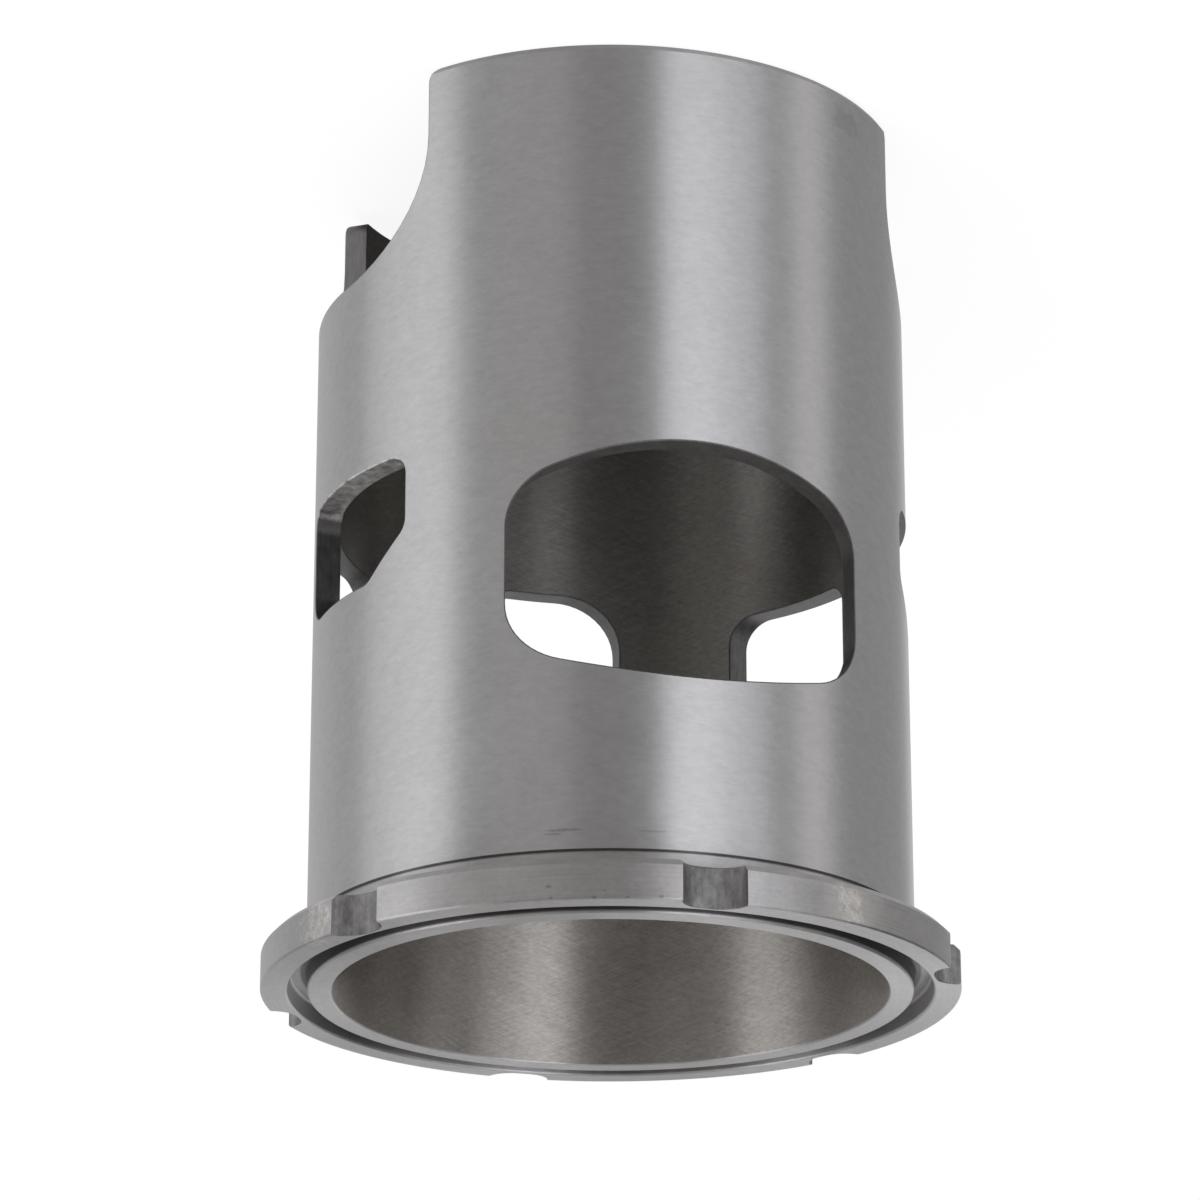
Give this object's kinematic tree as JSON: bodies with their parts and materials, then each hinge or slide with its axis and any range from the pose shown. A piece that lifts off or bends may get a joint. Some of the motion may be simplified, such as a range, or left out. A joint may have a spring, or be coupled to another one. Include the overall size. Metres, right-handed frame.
{
  "type": "cylinder liner",
  "caption": "Ported cylinder liner: a ground and honed sleeve with a notched locating flange, a ring groove in its head face, ports through its wall and a notched skirt.",
  "frame": {"origin": "on the bore axis at the skirt end, on which the liner stands", "axes": "+Z along the bore towards the head face, -Y towards the exhaust port"},
  "size_m": [0.1004, 0.1, 0.13],
  "materials": {
    "liner_iron": "ground outside, honed bore, turned faces, milled ports"
  },
  "bodies": {
    "root": {"cylinder_liner": "liner_iron"}
  },
  "joints": []
}
